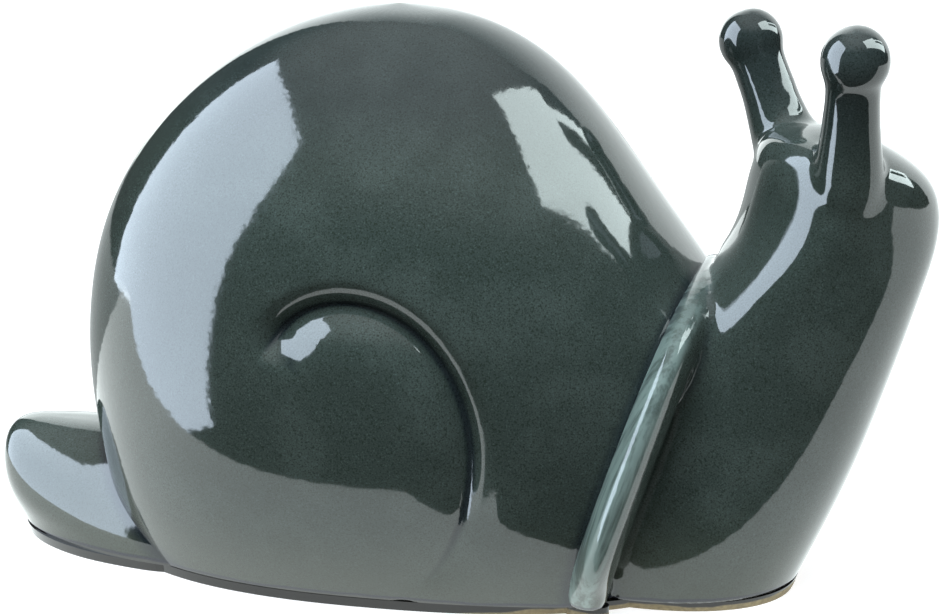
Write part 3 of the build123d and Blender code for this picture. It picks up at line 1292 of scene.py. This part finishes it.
        # Painted shade: darker where hollows and joints lie in shade, along with the glaze that pooled
        # there
        pool_and_shade_share = add_node(tree, "ShaderNodeAttribute", {"attribute_name": "pool_and_shade"})
        colour = cover(tree, colour, self.pool_and_shade, pool_and_shade_share.outputs["Fac"])
        # Thicker, darker glaze on the stalks, which are dipped twice
        colour = self.second_dip.lay(tree, colour, height)
        # Painted sheen: the lip's face paler, streaked where the glaze runs thinner
        colour = cover(tree, colour, self.thin_and_sheen, self.streaks_and_sheen(tree, here))
        # An ink-blue line over a thin grey hem
        wave = add_node(
            tree, "ShaderNodeMath", MULTIPLY_ADD, i0=grain["wave"], i1=self.hem_wave * MM, i2=height,
        )
        colour = self.hem.lay(tree, colour, wave.outputs[0])
        colour = cover(tree, colour, self.ink, self.ink_line(tree, wave.outputs[0]))
        colour = cover(tree, colour, self.pinhole, self.pinholes(tree, here))
        swell = add_node(
            tree, "ShaderNodeBump", Height=grain["swell"], Distance=self.swell_height * MM, Strength=1.0,
        )
        ripple = add_node(
            tree, "ShaderNodeBump", Height=grain["ripple"], Distance=self.ripple_height * MM,
            Strength=1.0, Normal=swell.outputs["Normal"],
        )
        shader = add_node(
            tree, "ShaderNodeBsdfPrincipled", Base_Color=colour, Roughness=self.roughness,
            IOR=self.ior, Normal=ripple.outputs["Normal"],
        )
        add_node(tree, "ShaderNodeOutputMaterial", Surface=shader.outputs["BSDF"])
        return material


@dataclass(frozen=True)
class BareFoot:
    """Wiped, unglazed stoneware: buff, dry and slightly gritty, with glaze to its upper edge.

    Behind the snail's middle the glaze runs further down, by the drop.
    """

    name: str = "bare stoneware foot"
    clay: str = "#B5A680"
    shade: str = "#5E5848"
    glazed: str = "#262422"
    grit_width: float = 1.1111
    wave_width: float = 16.667
    wave_height: float = 3.0
    drop: float = 2.2
    drop_from: float = -5.0
    drop_to: float = 35.0
    edge: Span = (2.7, 3.1)
    clay_roughness: float = 0.85
    glaze_roughness: float = 0.15

    def glazed_share(
        self, tree: bpy.types.NodeTree, here: bpy.types.NodeSocket
    ) -> bpy.types.NodeSocket:
        """Where the glaze reaches down over the foot's edge.

        Args:
            tree: The node tree.
            here: The piece's own coordinates.

        Returns:
            A share.
        """
        place = add_node(tree, "ShaderNodeSeparateXYZ", Vector=here)
        wave = add_node(
            tree, "ShaderNodeTexNoise", Vector=here, Scale=1.0 / (self.wave_width * MM), Detail=2.0,
        )
        rise = add_node(
            tree, "ShaderNodeMath", MULTIPLY_ADD,
            i0=wave.outputs["Fac"], i1=self.wave_height * MM, i2=place.outputs["Z"],
        )
        drop = add_node(
            tree, "ShaderNodeMapRange", SOFT_EDGE, Value=place.outputs["X"],
            From_Min=self.drop_from * MM, From_Max=self.drop_to * MM,
            To_Min=self.drop * MM, To_Max=0.0,
        )
        level = add_node(
            tree, "ShaderNodeMath", ADD, i0=rise.outputs[0], i1=drop.outputs["Result"],
        )
        share = add_node(
            tree, "ShaderNodeMapRange", Value=level.outputs[0],
            From_Min=self.edge[0] * MM, From_Max=self.edge[1] * MM,
        )
        return share.outputs["Result"]

    def material(self) -> bpy.types.Material:
        """Builds the bare clay.

        Returns:
            The material.
        """
        material = empty_material(self.name)
        tree = material.node_tree
        here = add_node(tree, "ShaderNodeTexCoord").outputs["Object"]
        grit = add_node(
            tree, "ShaderNodeTexNoise", Vector=here, Scale=1.0 / (self.grit_width * MM), Detail=3.0,
        )
        glazed = self.glazed_share(tree, here)
        colour = cover(tree, linear(self.clay), self.shade, grit.outputs["Fac"])
        colour = cover(tree, colour, self.glazed, glazed)
        gloss = add_node(
            tree, "ShaderNodeMapRange", Value=glazed,
            To_Min=self.clay_roughness, To_Max=self.glaze_roughness,
        )
        shader = add_node(
            tree, "ShaderNodeBsdfPrincipled", Base_Color=colour, Roughness=gloss.outputs["Result"],
        )
        add_node(tree, "ShaderNodeOutputMaterial", Surface=shader.outputs["BSDF"])
        return material


def dress(
    piece: bpy.types.Object, finish: bpy.types.Material, nodes: Iterable[str]
) -> None:
    """Gives a finished piece its material and its place in the frame.

    Args:
        piece: The mesh object.
        finish: Its material.
        nodes: The CAD nodes that it stands for.
    """
    make_active(piece)
    bpy.ops.object.shade_smooth_by_angle(angle=math.radians(SMOOTH_ANGLE))
    piece.vertex_groups.clear()
    piece.data.materials.clear()
    piece.data.materials.append(finish)
    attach(piece, "root")
    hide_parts(*nodes)


def away_from(azimuth: float, elevation: float) -> Vector:
    """The direction from the snail to a place round it, with azimuth 0 on its right side."""
    round_it, up = math.radians(azimuth), math.radians(elevation)
    return Vector((math.sin(round_it) * math.cos(up), -math.cos(round_it) * math.cos(up), math.sin(up)))


@dataclass(frozen=True)
class StudioPaper:
    """Matt white paper that shows its full strength in the glaze and keeps a soft shadow.

    It shines more to the left, where the softbox lights it, and less high up.
    """

    name: str
    shine: float
    colour: str = "#EEF6F6"
    matt: float = 0.5
    glow: float = 0.82
    lit_from: float = -0.02
    lit_to: float = -0.2
    lit_gain: float = 1.55
    fade_from: float = 0.4
    fade_to: float = 1.6
    fade_end: float = 0.4

    def material(self) -> bpy.types.Material:
        """Builds the paper.

        Returns:
            The material.
        """
        material = empty_material(self.name)
        tree = material.node_tree
        ray = add_node(tree, "ShaderNodeLightPath").outputs["Is Glossy Ray"]
        here = add_node(tree, "ShaderNodeTexCoord").outputs["Object"]
        place = add_node(tree, "ShaderNodeSeparateXYZ", Vector=here)
        matt = add_node(tree, "ShaderNodeBsdfDiffuse", Color=(self.matt, self.matt, self.matt, 1.0))
        glow = add_node(tree, "ShaderNodeEmission", Strength=self.glow)
        seen = add_node(tree, "ShaderNodeAddShader", i0=matt.outputs[0], i1=glow.outputs[0])
        lit = add_node(
            tree, "ShaderNodeMapRange", SOFT_EDGE, Value=place.outputs["X"],
            From_Min=self.lit_from, From_Max=self.lit_to,
            To_Min=self.shine, To_Max=self.shine * self.lit_gain,
        )
        fade = add_node(
            tree, "ShaderNodeMapRange", SOFT_EDGE, Value=place.outputs["Z"],
            From_Min=self.fade_from, From_Max=self.fade_to, To_Min=1.0, To_Max=self.fade_end,
        )
        strength = add_node(
            tree, "ShaderNodeMath", MULTIPLY, i0=lit.outputs["Result"], i1=fade.outputs["Result"],
        )
        mirrored = add_node(
            tree, "ShaderNodeEmission", Color=linear(self.colour), Strength=strength.outputs[0],
        )
        mixed = add_node(
            tree, "ShaderNodeMixShader", i0=ray, i1=seen.outputs[0], i2=mirrored.outputs[0],
        )
        add_node(tree, "ShaderNodeOutputMaterial", Surface=mixed.outputs[0])
        return material


@dataclass(frozen=True)
class Lamp:
    """A rectangular lamp on a plane that faces the snail.

    Shift and size are for a plane one metre away: across, then up, both in metres. A lamp
    that is glossy shows only in the glaze, and one that isn't lights only its colours.
    """

    name: str
    azimuth: float
    elevation: float
    roll: float
    shift: tuple[float, float]
    size: tuple[float, float]
    radiance: float
    colour: str
    glossy: bool
    watts: float = 4.0

    def place(self, target: Vector) -> None:
        """Hangs the lamp round a target.

        Args:
            target: The target, in metres.
        """
        away = away_from(self.azimuth, self.elevation)
        turn = away.to_track_quat("Z", "Y").to_matrix()
        data = bpy.data.lights.new(self.name, "AREA")
        data.shape = "RECTANGLE"
        data.size, data.size_y = self.size
        data.color = linear(self.colour)[:3]
        # A face shines with a quarter of its watts for each square metre
        data.energy = self.radiance * self.watts * self.size[0] * self.size[1]
        lamp = bpy.data.objects.new(self.name, data)
        bpy.context.scene.collection.objects.link(lamp)
        roll = Matrix.Rotation(math.radians(self.roll), 3, "Z")
        along = roll @ Vector((self.shift[0], self.shift[1], 0.0))
        lamp.location = target + away + turn @ along
        lamp.rotation_euler = (turn @ roll).to_euler()
        lamp.visible_glossy = self.glossy
        lamp.visible_diffuse = not self.glossy
        lamp.visible_camera = False


@dataclass
class Studio:
    """White ground, softboxes that only the glaze sees, a plain lamp and the camera.

    The left softbox tilts over the snail. The right one is turned on its corner, and its
    strips leave the dark slot of its strut open: each has a low and a high end, then a left
    and a right edge.
    """

    target: Vector
    azimuth: float = 13.0
    elevation: float = 16.0
    distance: float = 0.7
    lens: float = 114.03
    sensor: float = 36.0
    ground: float = 1.75
    shaded: float = 0.3
    left: float = -1.5
    right: float = 0.8
    front: float = -0.09
    right_front: float = -0.052
    front_bend: float = 0.045
    shade_front: float = 0.07
    back: float = 0.8
    backdrop_left: float = -0.6
    backdrop_top: float = 1.6
    softbox: float = 6.1
    cool: str = "#D6E6F6"
    white: str = "#E8F8F8"
    strips: Sequence[Row] = (
        (-0.62, 0.6, -0.16, 0.07),
        (-0.04, 0.6, 0.07, 0.32),
        (-0.62, -0.04, 0.16, 0.22),
        (-0.62, -0.56, 0.07, 0.16),
    )
    daylight: float = 6.2
    world_seen: float = 1.0
    world_plain: float = 0.3
    world_dark: float = 0.05
    world_ceiling: float = 0.85
    ceiling_from: float = 0.5

    def camera(self) -> None:
        """Sets the camera at the photograph's viewing angle."""
        away = away_from(self.azimuth, self.elevation)
        data = bpy.data.cameras.new("camera")
        data.lens = self.lens
        data.sensor_width = self.sensor
        data.sensor_fit = "HORIZONTAL"
        camera = bpy.data.objects.new("camera", data)
        bpy.context.scene.collection.objects.link(camera)
        camera.location = self.target + away * self.distance
        camera.rotation_euler = away.to_track_quat("Z", "Y").to_euler()
        bpy.context.scene.camera = camera

    def sheet(self, name: str, corners: Sequence[Row], paper: bpy.types.Material) -> None:
        """Lays one flat sheet of paper.

        Args:
            name: The sheet's name.
            corners: Its four corners in order, in metres.
            paper: Its material.
        """
        deselect_all()
        bpy.ops.mesh.primitive_plane_add(size=1.0)
        sheet = bpy.context.object
        sheet.name = name
        for index, corner in zip((0, 1, 3, 2), corners):
            sheet.data.vertices[index].co = corner
        sheet.data.materials.append(paper)

    def ground_and_backdrop(self) -> None:
        """Lays white sheets round the snail, and a shaded one behind it on the left."""
        white = StudioPaper("white paper", self.ground).material()
        grey = StudioPaper("shaded white paper", self.shaded * self.ground).material()
        for name, paper, outline in (
            ("floor_left", white, (
                (self.left, self.front), (0.0, self.front),
                (0.0, self.shade_front), (self.left, self.shade_front),
            )),
            ("floor_middle", white, (
                (0.0, self.front), (self.front_bend, self.right_front),
                (self.front_bend, self.back), (0.0, self.back),
            )),
            ("floor_right", white, (
                (self.front_bend, self.right_front), (self.right, self.right_front),
                (self.right, self.back), (self.front_bend, self.back),
            )),
            ("floor_behind", grey, (
                (self.left, self.shade_front), (0.0, self.shade_front),
                (0.0, self.back), (self.left, self.back),
            )),
        ):
            self.sheet(name, [(x, y, 0.0) for x, y in outline], paper)
        self.sheet("backdrop", (
            (self.backdrop_left, self.back, 0.0), (self.right, self.back, 0.0),
            (self.right, self.back, self.backdrop_top),
            (self.backdrop_left, self.back, self.backdrop_top),
        ), white)

    def world(self) -> None:
        """White to the camera, dark in the glaze but for the ceiling, plain to everything else."""
        world = bpy.data.worlds.new("studio")
        bpy.context.scene.world = world
        world.use_nodes = True
        tree = world.node_tree
        tree.nodes.clear()
        rays = add_node(tree, "ShaderNodeLightPath")
        heading = add_node(tree, "ShaderNodeTexCoord").outputs["Generated"]
        up = add_node(tree, "ShaderNodeSeparateXYZ", Vector=heading).outputs["Z"]
        ceiling = add_node(
            tree, "ShaderNodeMapRange", SOFT_EDGE, Value=up, From_Min=self.ceiling_from,
            From_Max=1.0, To_Min=self.world_dark, To_Max=self.world_ceiling,
        )
        unseen = add_node(
            tree, "ShaderNodeMix", NUMBERS, i0=rays.outputs["Is Glossy Ray"],
            i2=self.world_plain, i3=ceiling.outputs["Result"],
        )
        strength = add_node(
            tree, "ShaderNodeMix", NUMBERS, i0=rays.outputs["Is Camera Ray"],
            i2=unseen.outputs[0], i3=self.world_seen,
        )
        back = add_node(tree, "ShaderNodeBackground", Strength=strength.outputs[0])
        add_node(tree, "ShaderNodeOutputWorld", Surface=back.outputs[0])

    def lights(self) -> None:
        """Hangs the two softboxes and the plain lamp over the snail."""
        lamps = [Lamp(
            "left softbox", azimuth=-80.6, elevation=13.6, roll=3.0, shift=(0.12, -0.03),
            size=(1.12, 1.68), radiance=self.softbox, colour=self.cool, glossy=True,
        )]
        for number, (low, high, left, right) in enumerate(self.strips):
            lamps.append(Lamp(
                f"right softbox {number}", azimuth=103.0, elevation=38.0, roll=52.0,
                shift=((left + right) / 2, (low + high) / 2), size=(right - left, high - low),
                radiance=self.softbox, colour=self.white, glossy=True,
            ))
        lamps.append(Lamp(
            "top light", azimuth=-10.0, elevation=64.0, roll=0.0, shift=(0.0, 0.0),
            size=(0.8, 0.8), radiance=self.daylight, colour="#E6F3FF", glossy=False,
        ))
        for lamp in lamps:
            lamp.place(self.target)

    def build(self) -> None:
        """Sets up camera, ground, world and lamps."""
        self.camera()
        self.ground_and_backdrop()
        self.world()
        self.lights()


def main() -> None:
    """Builds the snail piece by piece, and then the studio round it."""
    logging.basicConfig(level=logging.INFO, format="%(message)s")
    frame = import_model()
    deselect_all()
    bpy.context.scene.view_settings.view_transform = "Standard"
    mouth = Mouth()
    shell, dome = ShellCasting(mouth, Suture()).build()
    lip = MouthLip(mouth).build(dome)
    bpy.data.objects.remove(dome)
    right = EyeStalk(
        Side.RIGHT, length=26.2, ball=8.0, cap_angle=40.0, waist=6.2, waist_share=0.58,
        lean_out=12.0, lean_back=5.0,
    )
    left = EyeStalk(
        Side.LEFT, length=24.0, ball=7.6, cap_angle=34.0, waist=6.4, waist_share=0.56,
        lean_out=24.0, lean_back=13.0,
    )
    front = HeadAndNeck(mouth, right, left)
    head = front.build(lip)
    tail = TailCasting().build()
    # Pooled glaze with painted shade in hollows and joints; on the lip, thinner glaze with a painted
    # sheen
    flow_and_shade = GlazeFlowAndShade()
    flow_and_shade.mark(shell, (head, tail))
    flow_and_shade.mark(head, (shell,), front.thin_glaze_and_sheen(head))
    flow_and_shade.mark(tail, (shell,))
    glaze = ReactiveGlaze().material()
    for piece, nodes in (
        (shell, ["shell"]),
        (head, ["neck_and_head", "shell_lip", "right_eye_stalk", "left_eye_stalk"]),
        (tail, ["tail"]),
    ):
        dress(piece, glaze, nodes)
        LOG.info("%s: %d faces", piece.name, len(piece.data.polygons))
    sole = frame["nodes"]["sole"]
    sole.data.materials[0] = BareFoot().material()
    LOG.info("%s: the CAD node in bare clay", sole.name)
    Studio(Vector((5.7, 0.0, 62.0)) * MM).build()


if __name__ == "__main__":
    main()
